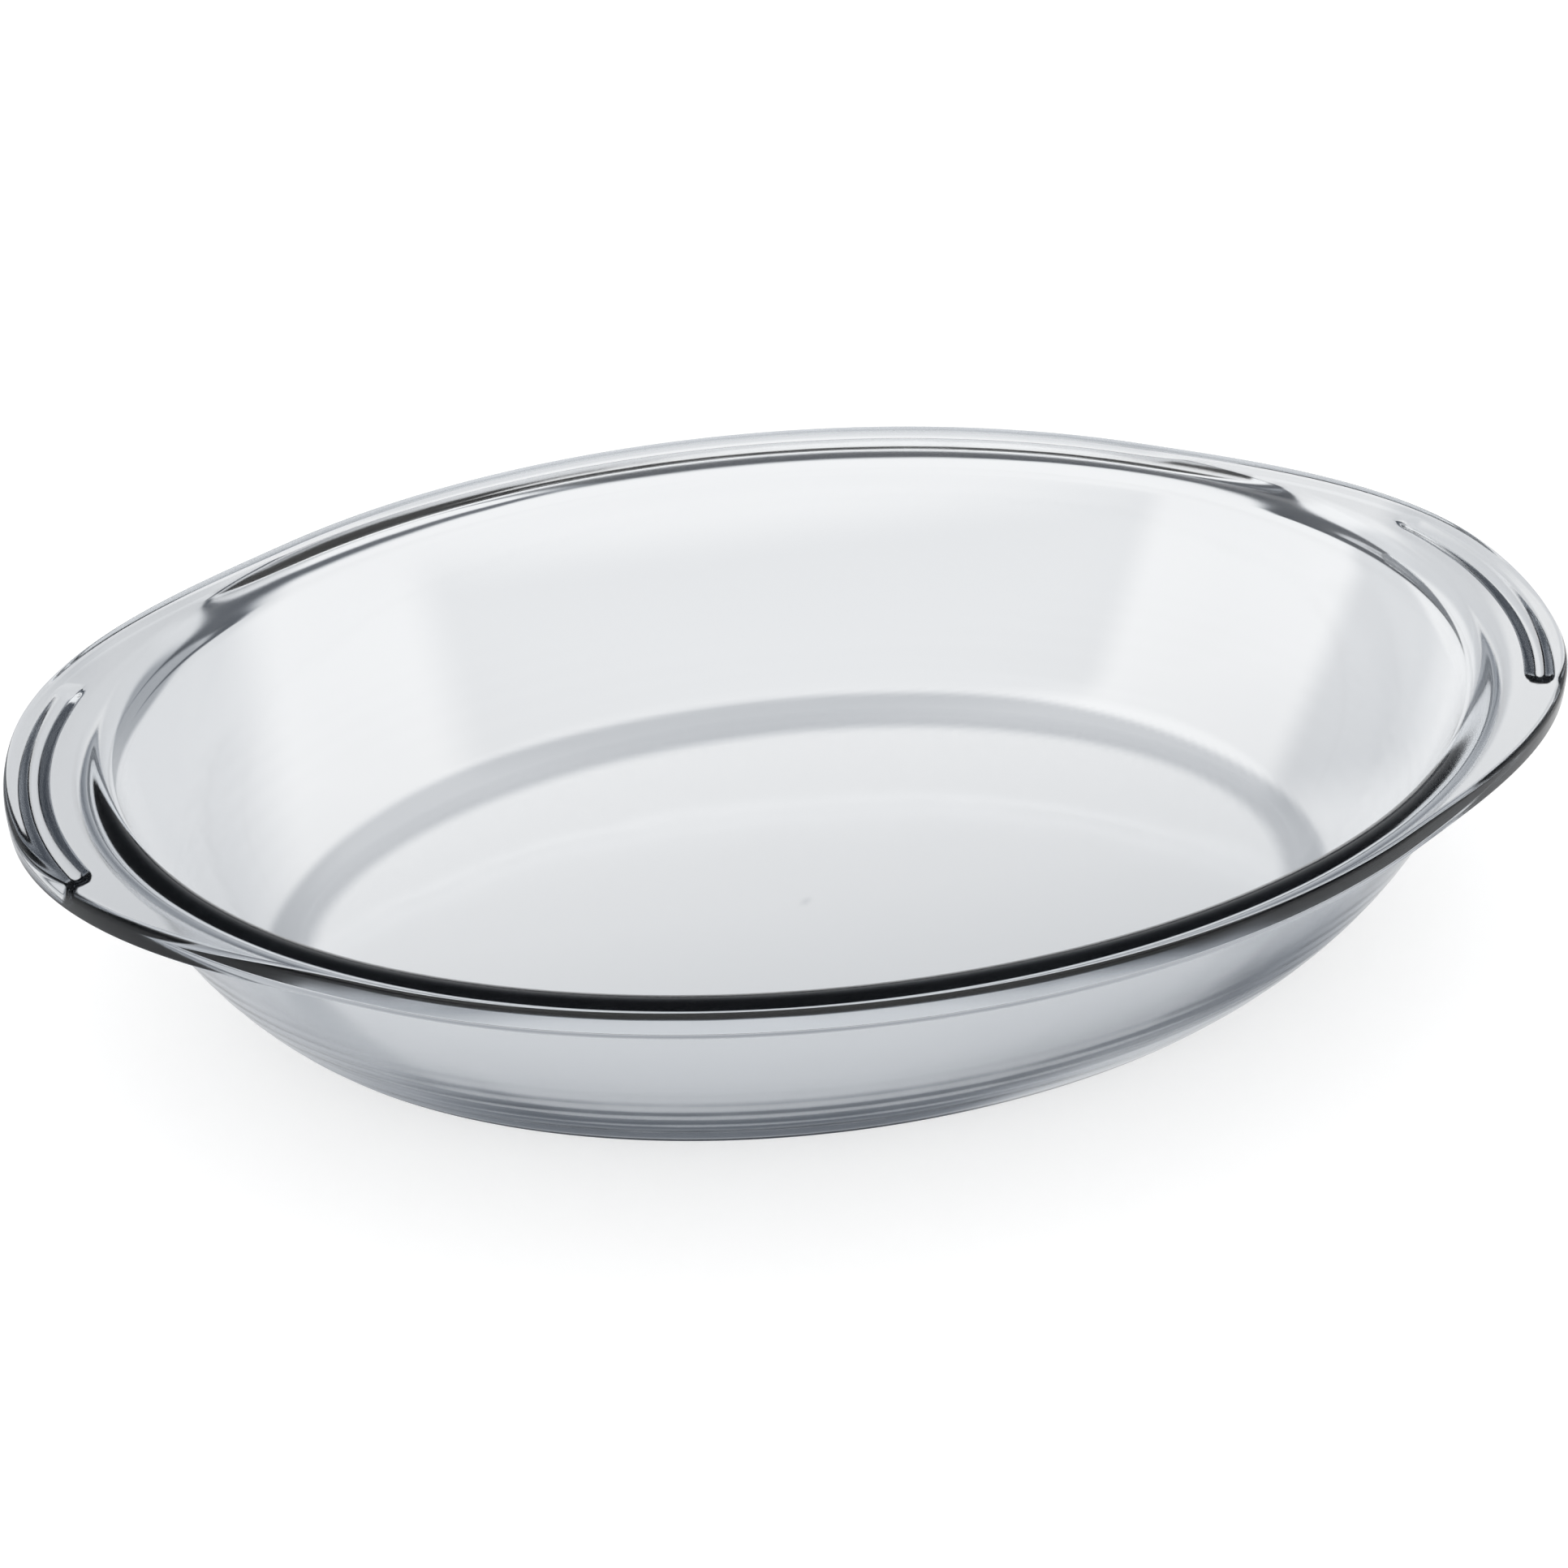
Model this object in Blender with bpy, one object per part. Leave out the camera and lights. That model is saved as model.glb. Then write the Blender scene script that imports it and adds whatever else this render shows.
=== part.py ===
"""Oval glass baking dish, pressed in one piece. Metres, +Z up, centre of the base at the origin."""

import bpy
import numpy as np

# Outside size of the dish: the rim with its two handles, and the height of the rim's top
LENGTH = 0.350
WIDTH = 0.238
HEIGHT = 0.0656

# Rim: its width along the sides and across the handles, from the mouth to its outer edge
SIDE_RIM_WIDTH = 0.0106
HANDLE_RIM_WIDTH = 0.0225
RIM_THICKNESS = 0.0059
SIDE_EDGE_RADIUS = 0.0011
HANDLE_EDGE_RADIUS = 0.0024
LOWER_EDGE_RADIUS = 0.0008

# Handles: angles round the mouth, from the long axis, where a handle is full and where it has ended
HANDLE_FULL_DEGREES = 8.0
HANDLE_END_DEGREES = 48.0

# Wall: bent outwards in section, and steepest at the rim
WALL_SLOPE_AT_RIM_DEGREES = 82.0
WALL_BEND_RADIUS = 0.108
WALL_THICKNESS = 0.0048

# Floor, and the roundings that join it, the wall and the rim
FLOOR_THICKNESS = 0.0055
FLOOR_RADIUS = 0.0133
BASE_RADIUS = 0.0195
SIDE_MOUTH_RADIUS = 0.008
HANDLE_MOUTH_RADIUS = 0.004
SIDE_NECK_RADIUS = 0.005
HANDLE_NECK_RADIUS = 0.008

# Grip under each handle: a bent raised bar with round ends
GRIP_INSET = 0.0063
GRIP_BEND_RADIUS = 0.084
GRIP_HALF_ANGLE_DEGREES = 25.0
GRIP_WIDTH = 0.0068
GRIP_HEIGHT = 0.0026

# How finely curves are divided
POINTS_ROUND = 112
ARC_STEPS = 5
WALL_STEPS = 4
EDGE_STEPS = 3
GRIP_STEPS = 24
GRIP_SIDES = 20
GRIP_CAP_STEPS = 5

# Glass
GLASS_TINT = (0.93, 0.95, 0.955, 1.0)
GLASS_IOR = 1.474
GLASS_ROUGHNESS = 0.02
SHARP_EDGE_DEGREES = 30.0

# The mouth is an ellipse where the wall would meet the rim's top without its rounding
MOUTH_HALF_LENGTH = LENGTH / 2 - HANDLE_RIM_WIDTH
MOUTH_HALF_WIDTH = WIDTH / 2 - SIDE_RIM_WIDTH
UNDERSIDE = HEIGHT - RIM_THICKNESS

# Centre of the wall's bend in the section, measured outwards from the mouth and up
BEND_OUT = -WALL_BEND_RADIUS * np.sin(np.radians(WALL_SLOPE_AT_RIM_DEGREES))
BEND_UP = HEIGHT + WALL_BEND_RADIUS * np.cos(np.radians(WALL_SLOPE_AT_RIM_DEGREES))


def clear_scene():
    for old in list(bpy.data.objects):
        bpy.data.objects.remove(old, do_unlink=True)


def handle_share(angles):
    """1 across the middle of a handle, 0 along the sides, with a smooth change between."""
    from_axis = np.degrees(np.arctan2(abs(np.sin(angles)), abs(np.cos(angles))))
    span = HANDLE_END_DEGREES - HANDLE_FULL_DEGREES
    u = np.clip((from_axis - HANDLE_FULL_DEGREES) / span, 0, 1)
    return 1 - u * u * (3 - 2 * u)


def round_the_rim(at_side, at_handle, angles):
    """A size of the rim that changes from its sides to its handles."""
    return at_side + (at_handle - at_side) * handle_share(angles)


def arc(centre_out, centre_up, radius, start_degrees, end_degrees, steps):
    """Points of an arc in the section, as (outwards, up) pairs."""
    turns = np.radians(np.linspace(start_degrees, end_degrees, steps + 1))
    return [(centre_out + radius * np.cos(a), centre_up + radius * np.sin(a)) for a in turns]


def rounding(reach, up):
    """Centre of a rounding that touches the wall's bend, and the bend's angle there."""
    turn = np.arcsin((BEND_UP - up) / reach)
    return BEND_OUT + reach * np.cos(turn), np.degrees(turn)


def wall_section(angles):
    """Outside of the wall, from the flat base up to the underside of the rim."""
    outside = WALL_BEND_RADIUS + WALL_THICKNESS
    foot_out, foot_turn = rounding(outside - BASE_RADIUS, BASE_RADIUS)
    neck = round_the_rim(SIDE_NECK_RADIUS, HANDLE_NECK_RADIUS, angles)
    neck_up = UNDERSIDE - neck
    neck_out, neck_turn = rounding(outside + neck, neck_up)
    foot_arc = arc(foot_out, BASE_RADIUS, BASE_RADIUS, -90, -foot_turn, ARC_STEPS)
    wall_arc = arc(BEND_OUT, BEND_UP, outside, -foot_turn, -neck_turn, WALL_STEPS)
    neck_arc = arc(neck_out, neck_up, neck, 180 - neck_turn, 90, ARC_STEPS)
    return foot_arc + wall_arc[1:-1] + neck_arc


def edge_rings(angles):
    """Outer edge of the rim, from the underside to the top."""
    width = round_the_rim(SIDE_RIM_WIDTH, HANDLE_RIM_WIDTH, angles)
    round_top = round_the_rim(SIDE_EDGE_RADIUS, HANDLE_EDGE_RADIUS, angles)
    low = LOWER_EDGE_RADIUS
    rings = [ring(angles, width + out, up) for out, up in arc(-low, UNDERSIDE + low, low, -90, 0, EDGE_STEPS)]
    for out, up in arc(-1, -1, 1, 0, 90, EDGE_STEPS):
        rings.append(ring(angles, width + out * round_top, HEIGHT + up * round_top))
    return rings


def bowl_section(angles):
    """Inside of the dish, from the rim's top down to the flat floor."""
    lip = round_the_rim(SIDE_MOUTH_RADIUS, HANDLE_MOUTH_RADIUS, angles)
    lip_up = HEIGHT - lip
    lip_out, lip_turn = rounding(WALL_BEND_RADIUS + lip, lip_up)
    well_up = FLOOR_THICKNESS + FLOOR_RADIUS
    well_out, well_turn = rounding(WALL_BEND_RADIUS - FLOOR_RADIUS, well_up)
    lip_arc = arc(lip_out, lip_up, lip, 90, 180 - lip_turn, ARC_STEPS)
    wall_arc = arc(BEND_OUT, BEND_UP, WALL_BEND_RADIUS, -lip_turn, -well_turn, WALL_STEPS)
    well_arc = arc(well_out, well_up, FLOOR_RADIUS, -well_turn, -90, ARC_STEPS)
    return lip_arc + wall_arc[1:-1] + well_arc


def ring(angles, outwards, up):
    """Points at a distance outwards from the mouth, square to it, and at a height."""
    along = MOUTH_HALF_LENGTH * np.cos(angles)
    across = MOUTH_HALF_WIDTH * np.sin(angles)
    normal = np.column_stack((np.cos(angles) / MOUTH_HALF_LENGTH, np.sin(angles) / MOUTH_HALF_WIDTH))
    normal /= np.linalg.norm(normal, axis=1)[:, None]
    flat = np.column_stack((along, across)) + normal * np.broadcast_to(outwards, angles.shape)[:, None]
    return np.column_stack((flat, np.broadcast_to(up, angles.shape)))


def dish_rings():
    """Closed rings from the base round the rim to the floor."""
    angles = 2 * np.pi * np.arange(POINTS_ROUND) / POINTS_ROUND
    outside = [ring(angles, out, up) for out, up in wall_section(angles)]
    inside = [ring(angles, out, up) for out, up in bowl_section(angles)]
    return outside + edge_rings(angles) + inside


def skin(rings, first_tip, last_tip):
    """Vertices and faces of a closed surface through rings, with a point at each end."""
    count = len(rings[0])
    points = [first_tip, *np.vstack(rings), last_tip]
    end = len(points) - 1
    faces = []
    for i in range(count):
        j = (i + 1) % count
        faces.append((0, 1 + j, 1 + i))
        for level in range(len(rings) - 1):
            a = 1 + level * count
            b = a + count
            faces.append((a + i, a + j, b + j, b + i))
        last = 1 + (len(rings) - 1) * count
        faces.append((last + i, last + j, end))
    return [tuple(map(float, p)) for p in points], faces


def mesh_object(name, points, faces):
    mesh = bpy.data.meshes.new(name)
    mesh.from_pydata(points, [], faces)
    mesh.validate()
    obj = bpy.data.objects.new(name, mesh)
    bpy.context.scene.collection.objects.link(obj)
    return obj


def glass():
    material = bpy.data.materials.new("clear_glass")
    material.use_nodes = True
    shader = material.node_tree.nodes["Principled BSDF"]
    shader.inputs["Base Color"].default_value = GLASS_TINT
    shader.inputs["Roughness"].default_value = GLASS_ROUGHNESS
    shader.inputs["IOR"].default_value = GLASS_IOR
    shader.inputs["Transmission Weight"].default_value = 1.0
    return material


def grip_bar(name, side):
    """A bent round bar with round ends, half sunk in the underside of one handle."""
    half = GRIP_WIDTH / 2
    radius = (half**2 + GRIP_HEIGHT**2) / (2 * GRIP_HEIGHT)
    level = UNDERSIDE - GRIP_HEIGHT + radius
    bend_centre = LENGTH / 2 - GRIP_INSET - GRIP_BEND_RADIUS
    reach = np.radians(GRIP_HALF_ANGLE_DEGREES)
    cap = np.radians(np.linspace(90, 0, GRIP_CAP_STEPS + 1))[1:-1]
    stations = [(-reach - np.sin(c) * radius / GRIP_BEND_RADIUS, np.cos(c)) for c in cap]
    middle = [(turn, 1.0) for turn in np.linspace(-reach, reach, GRIP_STEPS + 1)]
    stations += middle + [(-turn, share) for turn, share in reversed(stations)]
    round_bar = 2 * np.pi * np.arange(GRIP_SIDES, 0, -1) / GRIP_SIDES

    def place(turn, out, up):
        far = GRIP_BEND_RADIUS + out
        return np.column_stack((
            side * (bend_centre + far * np.cos(turn)),
            side * far * np.sin(turn),
            level + up,
        ))

    def section(turn, share):
        out, up = radius * share * np.cos(round_bar), radius * share * np.sin(round_bar)
        return place(turn, out, up)

    tip = reach + radius / GRIP_BEND_RADIUS
    ends = [place(turn, np.zeros(1), np.zeros(1))[0] for turn in (-tip, tip)]
    points, faces = skin([section(*station) for station in stations], *ends)
    bar = mesh_object(name, points, faces)
    bar.hide_render = True
    bar.display_type = "WIRE"
    return bar


def join(body, bar):
    modifier = body.modifiers.new(bar.name, "BOOLEAN")
    modifier.operation = "UNION"
    modifier.solver = "EXACT"
    modifier.object = bar


def build():
    clear_scene()
    points, faces = skin(dish_rings(), (0, 0, 0), (0, 0, FLOOR_THICKNESS))
    dish = mesh_object("dish", points, faces)
    dish.data.materials.append(glass())
    dish.data.shade_smooth()
    dish.data.set_sharp_from_angle(angle=np.radians(SHARP_EDGE_DEGREES))
    join(dish, grip_bar("grip_bar_right", 1))
    join(dish, grip_bar("grip_bar_left", -1))


build()
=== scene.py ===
"""Looks of the oval glass baking dish. Metres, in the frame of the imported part."""

import bpy
import numpy as np
from mathutils import Matrix

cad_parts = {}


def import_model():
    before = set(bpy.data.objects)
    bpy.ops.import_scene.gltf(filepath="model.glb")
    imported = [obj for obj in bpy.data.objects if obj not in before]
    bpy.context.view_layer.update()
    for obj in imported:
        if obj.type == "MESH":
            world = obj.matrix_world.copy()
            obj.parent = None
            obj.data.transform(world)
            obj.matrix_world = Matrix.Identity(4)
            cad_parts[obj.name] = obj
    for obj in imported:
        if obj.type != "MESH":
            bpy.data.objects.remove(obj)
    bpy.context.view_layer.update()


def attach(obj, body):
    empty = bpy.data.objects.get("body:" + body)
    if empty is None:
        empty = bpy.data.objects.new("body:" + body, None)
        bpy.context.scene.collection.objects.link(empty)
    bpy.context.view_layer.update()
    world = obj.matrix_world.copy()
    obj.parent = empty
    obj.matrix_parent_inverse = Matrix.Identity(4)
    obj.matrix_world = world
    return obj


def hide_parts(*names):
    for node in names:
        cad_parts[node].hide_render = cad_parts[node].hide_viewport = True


# Sizes of the dish, as in the part
LENGTH = 0.350
WIDTH = 0.238
HEIGHT = 0.0656
SIDE_RIM_WIDTH = 0.0106
HANDLE_RIM_WIDTH = 0.0225
RIM_THICKNESS = 0.0059
SIDE_EDGE_RADIUS = 0.0011
HANDLE_EDGE_RADIUS = 0.0024
LOWER_EDGE_RADIUS = 0.0008
HANDLE_FULL_DEGREES = 8.0
HANDLE_END_DEGREES = 48.0
WALL_SLOPE_AT_RIM_DEGREES = 82.0
WALL_BEND_RADIUS = 0.108
WALL_THICKNESS = 0.0048
FLOOR_THICKNESS = 0.0055
FLOOR_RADIUS = 0.0133
BASE_RADIUS = 0.0195
SIDE_MOUTH_RADIUS = 0.008
HANDLE_MOUTH_RADIUS = 0.004
SIDE_NECK_RADIUS = 0.005
HANDLE_NECK_RADIUS = 0.008
GRIP_INSET = 0.0063
GRIP_BEND_RADIUS = 0.084
GRIP_HALF_ANGLE_DEGREES = 25.0
GRIP_WIDTH = 0.0068
GRIP_HEIGHT = 0.0026

# Power of the curve of the grip's section: 1 is a parabola, and more softens its edges
GRIP_SHAPE = 1.25

# Faint level rings that pressing leaves on the outside of the wall, and the heights between which
# they come in and go out
RIPPLE_DEPTH = 0.00004
RIPPLE_PITCH = 0.0045
RIPPLE_START = (0.0005, 0.004)
RIPPLE_END = (0.022, 0.040)

MOUTH_HALF_LENGTH = LENGTH / 2 - HANDLE_RIM_WIDTH
MOUTH_HALF_WIDTH = WIDTH / 2 - SIDE_RIM_WIDTH
UNDERSIDE = HEIGHT - RIM_THICKNESS
BEND_OUT = -WALL_BEND_RADIUS * np.sin(np.radians(WALL_SLOPE_AT_RIM_DEGREES))
BEND_UP = HEIGHT + WALL_BEND_RADIUS * np.cos(np.radians(WALL_SLOPE_AT_RIM_DEGREES))

# The flat base, where the outside of the wall meets the table
FOOT_REACH = WALL_BEND_RADIUS + WALL_THICKNESS - BASE_RADIUS
FOOT_INSET = -BEND_OUT - np.sqrt(FOOT_REACH**2 - (BEND_UP - BASE_RADIUS)**2)
BASE_HALF_LENGTH = MOUTH_HALF_LENGTH - FOOT_INSET
BASE_HALF_WIDTH = MOUTH_HALF_WIDTH - FOOT_INSET

# How finely the mesh is divided, and how far its points are drawn towards the handles
POINTS_ROUND = 520
POINTS_SHIFT = 0.25
ARC_STEPS = 14
WALL_STEPS = 52
BOWL_STEPS = 14
EDGE_STEPS = 8
UNDER_RIM_STEPS = 34
RIM_TOP_STEPS = 12

# Keeps a division at the middle of the dish away from zero
TINY = 1e-6

# Glass: a faint uneven haze moves its roughness between two values, and its body absorbs light
GLASS_IOR = 1.474
GLASS_ROUGHNESS = (0.03, 0.12)
HAZE_SCALE = 30.0
HAZE_DETAIL = 3.0
GLASS_COLOUR = (0.985, 0.99, 0.995, 1.0)
ABSORPTION_COLOUR = (0.62, 0.70, 0.78, 1.0)
ABSORPTION_DENSITY = 14.0

# Faint waviness of pressed glass
WAVES_SCALE = 45.0
WAVES_DETAIL = 1.0
WAVES_DEPTH = 0.00012

# Sky as the glass shows it: brightness by height, from the horizon (0) to overhead (1), and how
# far a direction points to the back (+Y) where the front sky ends and the back sky is full
SKY_BEHIND = (
    (0.0, 0.62), (0.13, 0.52), (0.28, 0.33), (0.42, 0.13),
    (0.57, 0.05), (0.70, 0.08), (0.79, 1.0), (1.0, 1.05),
)
SKY_IN_FRONT = ((0.0, 0.80), (1.0, 0.92))
SKY_FRONT_END = -0.76
SKY_BACK_START = -0.36

# Painted light on the table, which only the glass shows: brightness by place across the dish, from
# front to back
LIGHT_ACROSS = (
    (-0.10, 0.70), (-0.035, 0.76), (0.0, 0.85), (0.045, 0.92), (0.08, 0.96), (0.20, 0.94),
)

# Share of that light left in front of the base, by distance from it: a painted shadow that the
# dish casts forward. FRONT_TURN is how straight to the front a place lies where this begins and
# is full. FRONT_SHIFT is how much farther out it lies at the right, and FRONT_SHIFT_PLACE the x
# where that begins and is full.
LIGHT_IN_FRONT = (
    (-0.030, 1.0), (-0.002, 0.94), (0.004, 0.80), (0.0070, 0.36), (0.010, 0.20),
    (0.020, 0.18), (0.032, 0.50), (0.055, 0.85), (0.090, 1.0),
)
FRONT_TURN = (0.1, 0.7)
FRONT_SHIFT = 0.011
FRONT_SHIFT_PLACE = (-0.01, 0.06)

# Painted soft ring of shadow on the table round the base, at the sides and behind, where it
# is wider. BEHIND_TURN is how straight behind a place lies where the ring begins to widen and
# is widest. The edges are distances over which the shade comes in and goes out.
RING_SHADE = 0.34
RING_WIDTH = 0.013
RING_EXTRA_BEHIND = 0.0065
BEHIND_TURN = (0.2, 0.8)
RING_INNER_EDGE = (-0.002, 0.0025)
RING_OUTER_EDGE = (-0.002, 0.002)

# Other painted soft shades on the table, which only the glass shows: how dark each is, and the
# straight edges round it. An edge has a place on it (x, y), the direction into the shade in
# degrees, and half the width of its fade.
SHADES = (
    # Left of the dish, and darker in the corner behind
    (0.20, (
        (-0.1235, 0, 180, 0.0115),
    )),
    (0.50, (
        (-0.165, 0, 180, 0.010),
        (0, 0.15, 90, 0.020),
    )),
    # Painted darker patch behind the dish
    (0.12, (
        (-0.071, 0, 0, 0.009),
        (0.099, 0.080, 152.5, 0.0055),
        (0, 0.075, 90, 0.010),
        (0, 0.185, 270, 0.020),
    )),
    # Painted darker patch at the right
    (0.20, (
        (0.133, 0.032, -33.9, 0.005),
        (0.1633, 0.0117, 146.1, 0.0085),
        (0, 0.015, 90, 0.015),
    )),
    # Far behind at the right, and the slanting streak at the left of it
    (0.95, (
        (0, 0.35, 90, 0.020),
        (-0.01, 0, 0, 0.020),
    )),
    (0.90, (
        (-0.03, 0.33, 132.6, 0.0074),
        (-0.0574, 0.3598, 312.6, 0.011),
        (0, 0.22, 90, 0.010),
        (-0.01, 0, 180, 0.020),
    )),
)

# Greys as the glass shows them turn a little bluer the darker they are
RED_POWER = 1.05
BLUE_POWER = 0.93

# Floor: a fine grid round the dish and a few wide steps beyond it, a little below the base. Its
# grey takes the dish's shadow, and the lift makes it white to the camera everywhere else. Through
# the glass it shows only its painted shade.
FLOOR_FINE_X = (-0.4, 0.4)
FLOOR_FINE_Y = (-0.3, 0.5)
FLOOR_FINE_POINTS = 401
FLOOR_FAR = (0.6, 1, 2, 6)
FLOOR_DROP = 0.0003
FLOOR_GREY = (0.86, 0.86, 0.86, 1)
FLOOR_ROUGHNESS = 0.9
FLOOR_LIFT = 0.30
WHITE = (1, 1, 1, 1)
BLACK = (0, 0, 0, 1)

# Sockets of a Mix node: its factor and two colours going in, and the colour coming out
MIX_INPUTS = (0, 6, 7)
MIX_OUTPUT = 2

# Where a new stop of a colour ramp is put before it gets its own place
NEW_STOP_PLACE = 0.5

# Camera, from the fit to the photograph: focal length and distance, angles in degrees
PHOTO_SIDE = 1932
FOCAL_PIXELS = 3500.0
SENSOR = 36.0
CAMERA_ELEVATION = 34.05
CAMERA_AZIMUTH = -12.37
CAMERA_ROLL = -0.85
CAMERA_DISTANCE = 0.7153
CAMERA_AIM = (0.0068, 0.0531, 0.0)
CLIP_START = 0.01


def smooth(values, start, end):
    """0 before start, 1 after end, with a smooth change between."""
    share = np.clip((values - start) / (end - start), 0, 1)
    return share * share * (3 - 2 * share)


def handle_share(angles):
    """1 across the middle of a handle, 0 along the sides, with a smooth change between."""
    from_axis = np.degrees(np.arctan2(abs(np.sin(angles)), abs(np.cos(angles))))
    return 1 - smooth(from_axis, HANDLE_FULL_DEGREES, HANDLE_END_DEGREES)


def round_the_rim(at_side, at_handle, angles):
    """A size of the rim that changes from its sides to its handles."""
    return at_side + (at_handle - at_side) * handle_share(angles)


def arc(centre_out, centre_up, radius, start_degrees, end_degrees, steps):
    """Points of an arc in the section, as (outwards, up) pairs."""
    turns = np.radians(np.linspace(start_degrees, end_degrees, steps + 1))
    return [(centre_out + radius * np.cos(a), centre_up + radius * np.sin(a)) for a in turns]


def rounding(reach, up):
    """Centre of a rounding that touches the wall's bend, and the bend's angle there."""
    turn = np.arcsin((BEND_UP - up) / reach)
    return BEND_OUT + reach * np.cos(turn), np.degrees(turn)


def wall_section(angles):
    """Outside of the wall, from the flat base up to the underside of the rim."""
    outside = WALL_BEND_RADIUS + WALL_THICKNESS
    foot_out, foot_turn = rounding(outside - BASE_RADIUS, BASE_RADIUS)
    neck = round_the_rim(SIDE_NECK_RADIUS, HANDLE_NECK_RADIUS, angles)
    neck_up = UNDERSIDE - neck
    neck_out, neck_turn = rounding(outside + neck, neck_up)
    foot_arc = arc(foot_out, BASE_RADIUS, BASE_RADIUS, -90, -foot_turn, ARC_STEPS)
    wall_arc = arc(BEND_OUT, BEND_UP, outside, -foot_turn, -neck_turn, WALL_STEPS)
    neck_arc = arc(neck_out, neck_up, neck, 180 - neck_turn, 90, ARC_STEPS)
    return [rippled(out, up) for out, up in foot_arc + wall_arc[1:-1]] + neck_arc


def rippled(out, up):
    """A point of the wall's outside, moved by the faint rings on its lower half."""
    share = smooth(up, *RIPPLE_START) * (1 - smooth(up, *RIPPLE_END))
    return out + RIPPLE_DEPTH * share * np.sin(2 * np.pi * up / RIPPLE_PITCH), up


def bowl_section(angles):
    """Inside of the dish, from the rim's top down to the flat floor."""
    lip = round_the_rim(SIDE_MOUTH_RADIUS, HANDLE_MOUTH_RADIUS, angles)
    lip_up = HEIGHT - lip
    lip_out, lip_turn = rounding(WALL_BEND_RADIUS + lip, lip_up)
    well_up = FLOOR_THICKNESS + FLOOR_RADIUS
    well_out, well_turn = rounding(WALL_BEND_RADIUS - FLOOR_RADIUS, well_up)
    lip_arc = arc(lip_out, lip_up, lip, 90, 180 - lip_turn, ARC_STEPS)
    wall_arc = arc(BEND_OUT, BEND_UP, WALL_BEND_RADIUS, -lip_turn, -well_turn, BOWL_STEPS)
    well_arc = arc(well_out, well_up, FLOOR_RADIUS, -well_turn, -90, ARC_STEPS)
    return lip_arc + wall_arc[1:-1] + well_arc


def ring(angles, outwards, up):
    """Points at a distance outwards from the mouth, square to it, and at a height."""
    cosines, sines = np.cos(angles), np.sin(angles)
    mouth = np.column_stack((MOUTH_HALF_LENGTH * cosines, MOUTH_HALF_WIDTH * sines))
    normal = np.column_stack((cosines / MOUTH_HALF_LENGTH, sines / MOUTH_HALF_WIDTH))
    normal /= np.linalg.norm(normal, axis=1)[:, None]
    flat = mouth + normal * np.broadcast_to(outwards, angles.shape)[:, None]
    return np.column_stack((flat, np.broadcast_to(up, angles.shape)))


def grip_height(points):
    """How far the raised grip stands below each point of a handle's underside."""
    centre = LENGTH / 2 - GRIP_INSET - GRIP_BEND_RADIUS
    along = abs(points[:, 0]) - centre
    across = points[:, 1]
    reach = np.radians(GRIP_HALF_ANGLE_DEGREES)
    near = np.clip(np.arctan2(across, along), -reach, reach)
    off_along = along - GRIP_BEND_RADIUS * np.cos(near)
    off_across = across - GRIP_BEND_RADIUS * np.sin(near)
    share = np.clip(np.hypot(off_along, off_across) / (GRIP_WIDTH / 2), 0, 1)
    return GRIP_HEIGHT * (1 - share**2) ** GRIP_SHAPE


def flat_rings(angles, start, end, up, shares):
    """Rings over a level part of the rim, at shares of the way from one distance to another."""
    return [ring(angles, start * (1 - share) + end * share, up) for share in shares]


def dish_rings():
    """Closed rings from the base round the rim to the floor, with closer points at the handles."""
    steps = 2 * np.pi * np.arange(POINTS_ROUND) / POINTS_ROUND
    angles = steps - POINTS_SHIFT * np.sin(2 * steps)
    width = round_the_rim(SIDE_RIM_WIDTH, HANDLE_RIM_WIDTH, angles)
    top = round_the_rim(SIDE_EDGE_RADIUS, HANDLE_EDGE_RADIUS, angles)
    low = LOWER_EDGE_RADIUS
    outside, inside = wall_section(angles), bowl_section(angles)
    rings = [ring(angles, out, up) for out, up in outside]
    even = np.linspace(0, 1, UNDER_RIM_STEPS + 1)[1:-1]
    under = flat_rings(angles, outside[-1][0], width - low, UNDERSIDE, even)
    for flat in under:
        flat[:, 2] -= grip_height(flat)
    rings += under
    lower_edge = arc(-low, UNDERSIDE + low, low, -90, 0, EDGE_STEPS)
    upper_edge = arc(-1, -1, 1, 0, 90, EDGE_STEPS)
    rings += [ring(angles, width + out, up) for out, up in lower_edge]
    rings += [ring(angles, width + out * top, HEIGHT + up * top) for out, up in upper_edge]
    closer_at_ends = (1 - np.cos(np.pi * np.linspace(0, 1, RIM_TOP_STEPS + 1)[1:-1])) / 2
    rings += flat_rings(angles, width - top, inside[0][0], HEIGHT, closer_at_ends)
    return rings + [ring(angles, out, up) for out, up in inside]


def skin(rings, first_tip, last_tip):
    """A closed mesh through rings, with a point at each end."""
    count = len(rings[0])
    points = np.vstack([[first_tip], *rings, [last_tip]])
    low = 1 + count * np.arange(len(rings) - 1)[:, None]
    high = low + count
    i = np.arange(count)[None, :]
    j = (i + 1) % count
    quads = np.stack([low + i, low + j, high + j, high + i], -1).reshape(-1, 4)
    faces = [(0, 1 + int(b), 1 + int(a)) for a, b in zip(i[0], j[0])]
    faces += [tuple(map(int, q)) for q in quads]
    last = 1 + (len(rings) - 1) * count
    faces += [(last + int(a), last + int(b), len(points) - 1) for a, b in zip(i[0], j[0])]
    return points, faces


def mesh_object(name, points, faces, curved=True):
    mesh = bpy.data.meshes.new(name)
    mesh.from_pydata([tuple(map(float, p)) for p in points], [], faces)
    mesh.validate()
    if curved:
        mesh.shade_smooth()
    obj = bpy.data.objects.new(name, mesh)
    bpy.context.scene.collection.objects.link(obj)
    return obj


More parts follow.
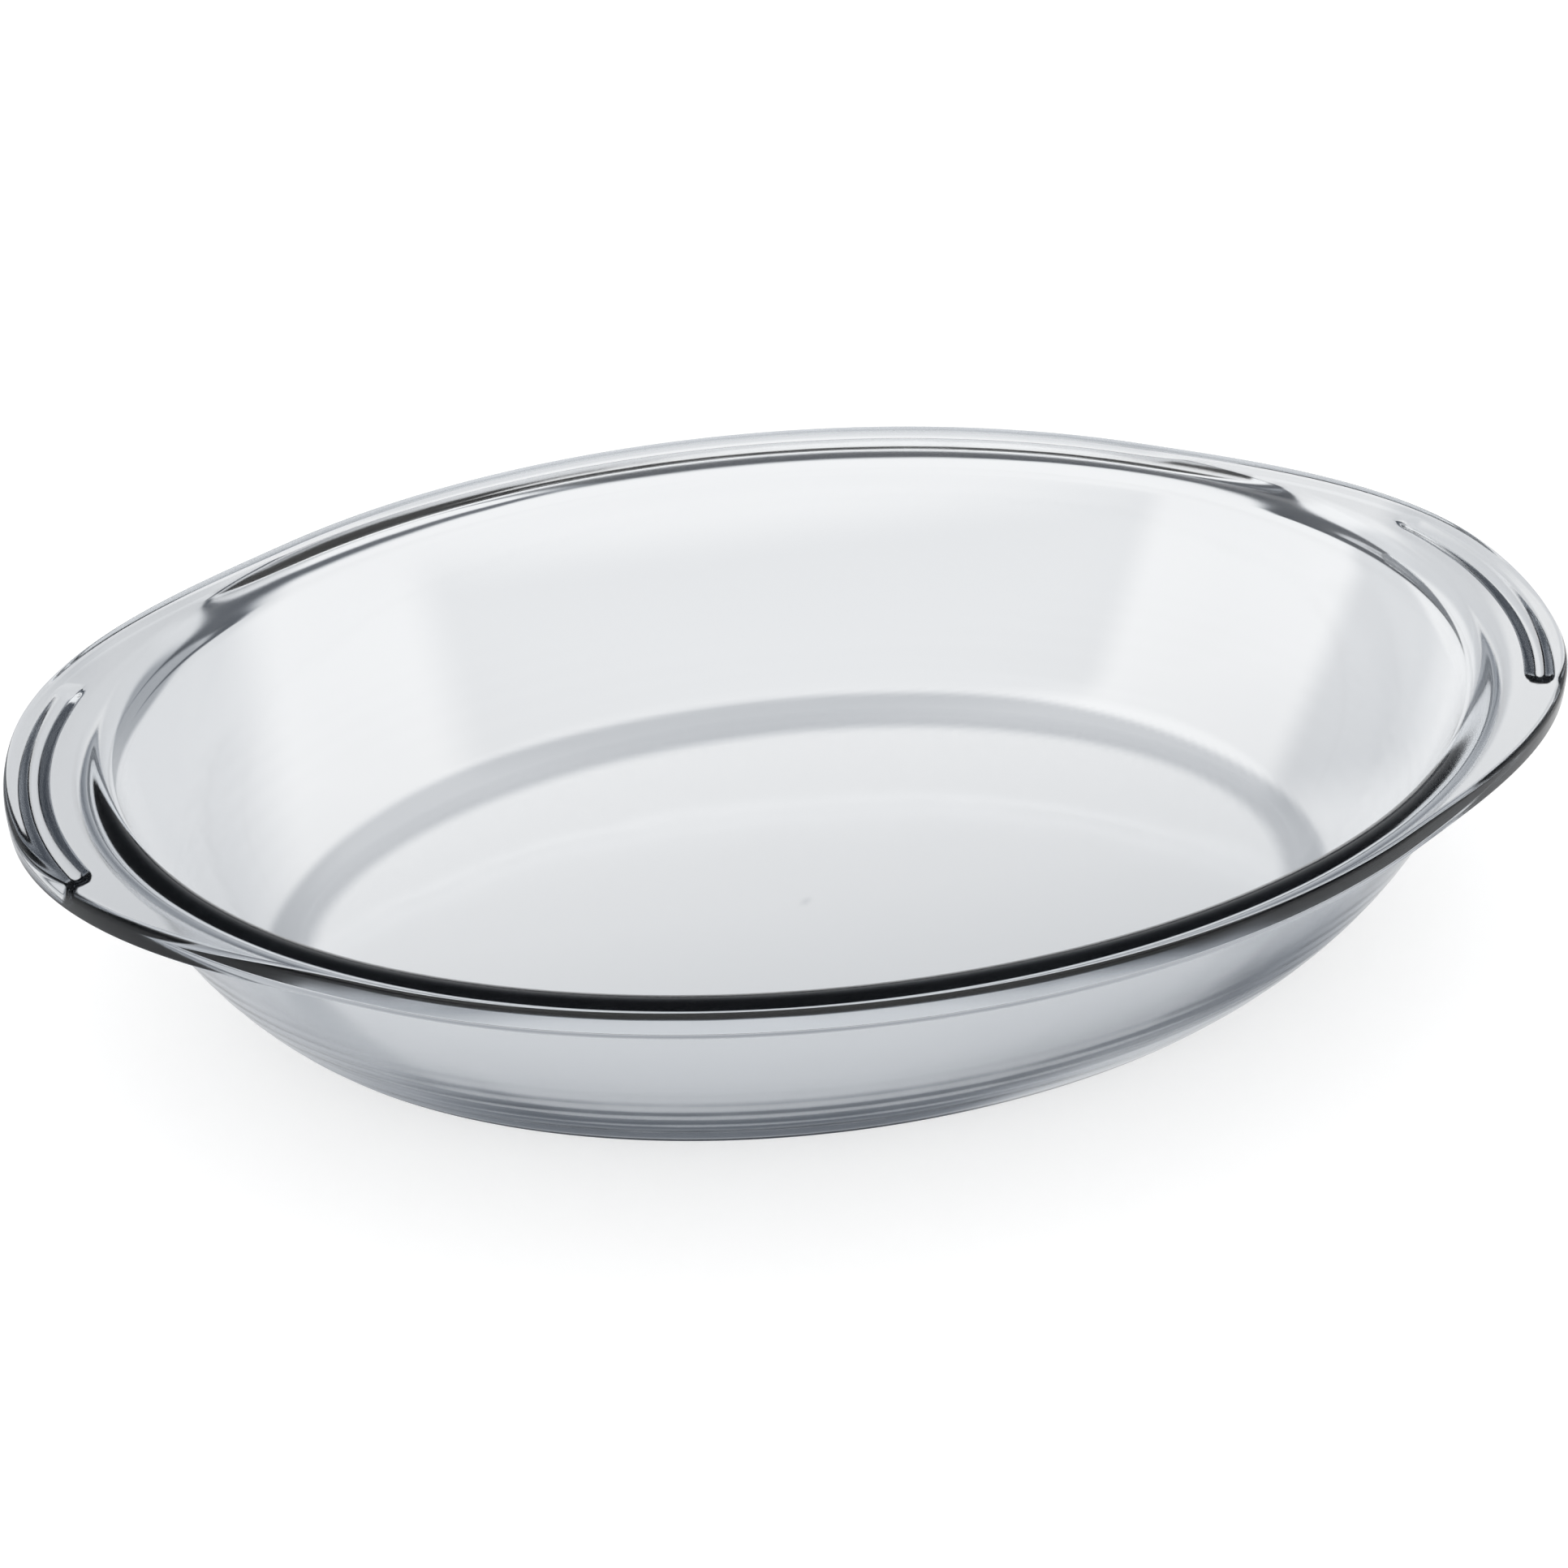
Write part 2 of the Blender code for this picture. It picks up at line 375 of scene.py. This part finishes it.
def glass():
    material = bpy.data.materials.new("clear_glass_fine")
    material.use_nodes = True
    tree = material.node_tree
    shader = tree.nodes["Principled BSDF"]
    shader.inputs["Base Color"].default_value = GLASS_COLOUR
    shader.inputs["IOR"].default_value = GLASS_IOR
    shader.inputs["Transmission Weight"].default_value = 1.0
    volume = tree.nodes.new("ShaderNodeVolumeAbsorption")
    volume.inputs["Color"].default_value = ABSORPTION_COLOUR
    volume.inputs["Density"].default_value = ABSORPTION_DENSITY
    tree.links.new(volume.outputs["Volume"], tree.nodes["Material Output"].inputs["Volume"])
    place = tree.nodes.new("ShaderNodeTexCoord")
    haze = tree.nodes.new("ShaderNodeTexNoise")
    haze.inputs["Scale"].default_value = HAZE_SCALE
    haze.inputs["Detail"].default_value = HAZE_DETAIL
    tree.links.new(place.outputs["Object"], haze.inputs["Vector"])
    rough = tree.nodes.new("ShaderNodeMapRange")
    rough.inputs["To Min"].default_value, rough.inputs["To Max"].default_value = GLASS_ROUGHNESS
    tree.links.new(haze.outputs["Fac"], rough.inputs["Value"])
    tree.links.new(rough.outputs["Result"], shader.inputs["Roughness"])
    waves = tree.nodes.new("ShaderNodeTexNoise")
    waves.inputs["Scale"].default_value = WAVES_SCALE
    waves.inputs["Detail"].default_value = WAVES_DETAIL
    tree.links.new(place.outputs["Object"], waves.inputs["Vector"])
    bump = tree.nodes.new("ShaderNodeBump")
    bump.inputs["Distance"].default_value = WAVES_DEPTH
    tree.links.new(waves.outputs["Fac"], bump.inputs["Height"])
    tree.links.new(bump.outputs["Normal"], shader.inputs["Normal"])
    return material


def math_node(tree, operation, first, second, clamp=False):
    node = tree.nodes.new("ShaderNodeMath")
    node.operation = operation
    node.use_clamp = clamp
    for socket, value in zip(node.inputs, (first, second)):
        if isinstance(value, (int, float)):
            socket.default_value = value
        else:
            tree.links.new(value, socket)
    return node.outputs[0]


def mix_node(tree, factor, first, second):
    node = tree.nodes.new("ShaderNodeMix")
    node.data_type = "RGBA"
    for place, value in zip(MIX_INPUTS, (factor, first, second)):
        if isinstance(value, tuple):
            node.inputs[place].default_value = value
        else:
            tree.links.new(value, node.inputs[place])
    return node.outputs[MIX_OUTPUT]


def glass_ray(tree):
    """1 for a ray that came off or through glass, and 1 for one straight from the camera."""
    path = tree.nodes.new("ShaderNodeLightPath")
    glossy, passed = path.outputs["Is Glossy Ray"], path.outputs["Is Transmission Ray"]
    bent = math_node(tree, "MAXIMUM", glossy, passed)
    through = math_node(tree, "SUBTRACT", bent, path.outputs["Diffuse Depth"], True)
    return through, path.outputs["Is Camera Ray"]


def base_shade(x, y):
    """Painted shadow round the dish's base and in front of it, as the share of light left there.
    """
    # Distance outwards from the base's ellipse, good close to it
    share = np.hypot(x / BASE_HALF_LENGTH, y / BASE_HALF_WIDTH)
    steep = np.hypot(x / BASE_HALF_LENGTH**2, y / BASE_HALF_WIDTH**2)
    out = share * (share - 1) / np.maximum(steep, TINY)
    turn = y / np.maximum(np.hypot(x, y), TINY)
    front = smooth(-turn, *FRONT_TURN)
    width = RING_WIDTH + RING_EXTRA_BEHIND * smooth(turn, *BEHIND_TURN)
    shaded = smooth(out, *RING_INNER_EDGE) * (1 - smooth(out - width, *RING_OUTER_EDGE))
    ahead = out - FRONT_SHIFT * smooth(x, *FRONT_SHIFT_PLACE)
    left_in_front = np.interp(ahead, *zip(*LIGHT_IN_FRONT))
    return (1 - RING_SHADE * shaded * (1 - front)) * (1 - front * (1 - left_in_front))


def soft_side(x, y, at_x, at_y, degrees, half):
    """0 to 1 across a straight edge on the table, 1 on the side that the direction points to."""
    into = np.radians(degrees)
    return smooth((x - at_x) * np.cos(into) + (y - at_y) * np.sin(into), -half, half)


def floor_shade(points):
    """Painted light and shade on the table at each point, which only the glass shows."""
    x, y = points[:, 0], points[:, 1]
    light = np.interp(y, *zip(*LIGHT_ACROSS)) * base_shade(x, y)
    for darkness, edges in SHADES:
        shaded = np.prod([soft_side(x, y, *edge) for edge in edges], axis=0)
        light *= 1 - darkness * shaded
    return light


def tinted(light):
    """Greys a little bluer the darker they are."""
    return np.column_stack((light**RED_POWER, light, light**BLUE_POWER, np.ones_like(light)))


def floor_mesh():
    before = np.negative(FLOOR_FAR[::-1])
    xs = np.concatenate((before, np.linspace(*FLOOR_FINE_X, FLOOR_FINE_POINTS), FLOOR_FAR))
    ys = np.concatenate((before, np.linspace(*FLOOR_FINE_Y, FLOOR_FINE_POINTS), FLOOR_FAR))
    grid = np.array([(x, y, -FLOOR_DROP) for y in ys for x in xs])
    n = len(xs)
    corners = [r * n + c for r in range(len(ys) - 1) for c in range(n - 1)]
    squares = [(k, k + 1, k + n + 1, k + n) for k in corners]
    obj = mesh_object("floor", grid, squares, curved=False)
    # The painted shade is stored on the floor's points for the glass to show
    shade = obj.data.attributes.new("shade", "FLOAT_COLOR", "POINT")
    shade.data.foreach_set("color", tinted(floor_shade(grid)).ravel())
    return obj


def floor_material():
    material = bpy.data.materials.new("floor_white_and_painted_shade")
    material.use_nodes = True
    tree = material.node_tree
    shader = tree.nodes["Principled BSDF"]
    shader.inputs["Roughness"].default_value = FLOOR_ROUGHNESS
    shader.inputs["Specular IOR Level"].default_value = 0.0
    through, seen = glass_ray(tree)
    shade = tree.nodes.new("ShaderNodeAttribute")
    shade.attribute_name = "shade"
    # Through the glass the floor has no lit colour and glows with its painted shade; to the camera
    # it is lit grey with a lift to white
    colour = mix_node(tree, through, FLOOR_GREY, BLACK)
    tree.links.new(colour, shader.inputs["Base Color"])
    light = mix_node(tree, through, WHITE, shade.outputs["Color"])
    tree.links.new(light, shader.inputs["Emission Color"])
    lift = math_node(tree, "MULTIPLY", seen, FLOOR_LIFT)
    tree.links.new(math_node(tree, "ADD", lift, through), shader.inputs["Emission Strength"])
    return material


def ramp_node(tree, value, stops):
    ramp = tree.nodes.new("ShaderNodeValToRGB")
    points = ramp.color_ramp.elements
    while len(points) < len(stops):
        points.new(NEW_STOP_PLACE)
    places, levels = zip(*stops)
    for point, place, colour in zip(points, places, tinted(np.array(levels))):
        point.position = place
        point.color = colour
    tree.links.new(value, ramp.inputs["Fac"])
    return ramp.outputs["Color"]


def world():
    """White all round for the camera, and a soft gradient for what the glass shows."""
    made = bpy.data.worlds.new("studio")
    made.use_nodes = True
    tree = made.node_tree
    place = tree.nodes.new("ShaderNodeTexCoord")
    split = tree.nodes.new("ShaderNodeSeparateXYZ")
    tree.links.new(place.outputs["Generated"], split.inputs[0])
    behind = ramp_node(tree, split.outputs["Z"], SKY_BEHIND)
    front = ramp_node(tree, split.outputs["Z"], SKY_IN_FRONT)
    past_front = math_node(tree, "SUBTRACT", split.outputs["Y"], SKY_FRONT_END)
    turn = math_node(tree, "DIVIDE", past_front, SKY_BACK_START - SKY_FRONT_END, True)
    sky = mix_node(tree, turn, front, behind)
    through, _ = glass_ray(tree)
    colour = mix_node(tree, through, WHITE, sky)
    background = tree.nodes["Background"]
    tree.links.new(colour, background.inputs["Color"])
    background.inputs["Strength"].default_value = 1.0
    bpy.context.scene.world = made


def camera():
    up_angle, side_angle, roll = np.radians((CAMERA_ELEVATION, CAMERA_AZIMUTH, CAMERA_ROLL))
    level = np.cos(up_angle)
    back = np.array([np.sin(side_angle) * level, -np.cos(side_angle) * level, np.sin(up_angle)])
    right = np.cross(-back, [0, 0, 1])
    right /= np.linalg.norm(right)
    up = np.cross(right, -back)
    rolled = right * np.cos(roll) + up * np.sin(roll)
    raised = -right * np.sin(roll) + up * np.cos(roll)
    place = back * CAMERA_DISTANCE + np.array(CAMERA_AIM)
    data = bpy.data.cameras.new("camera")
    data.sensor_width = SENSOR
    data.lens = FOCAL_PIXELS * SENSOR / PHOTO_SIDE
    data.clip_start = CLIP_START
    obj = bpy.data.objects.new("camera", data)
    bpy.context.scene.collection.objects.link(obj)
    matrix = Matrix.Identity(4)
    for row in range(3):
        matrix[row][0] = rolled[row]
        matrix[row][1] = raised[row]
        matrix[row][2] = back[row]
        matrix[row][3] = place[row]
    obj.matrix_world = matrix
    bpy.context.scene.camera = obj


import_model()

points, faces = skin(dish_rings(), (0, 0, 0), (0, 0, FLOOR_THICKNESS))
dish = mesh_object("dish_glass", points, faces)
dish.data.materials.append(glass())
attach(dish, "root")
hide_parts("dish")

floor = floor_mesh()
floor.data.materials.append(floor_material())

world()
camera()
bpy.context.scene.view_settings.view_transform = "Standard"
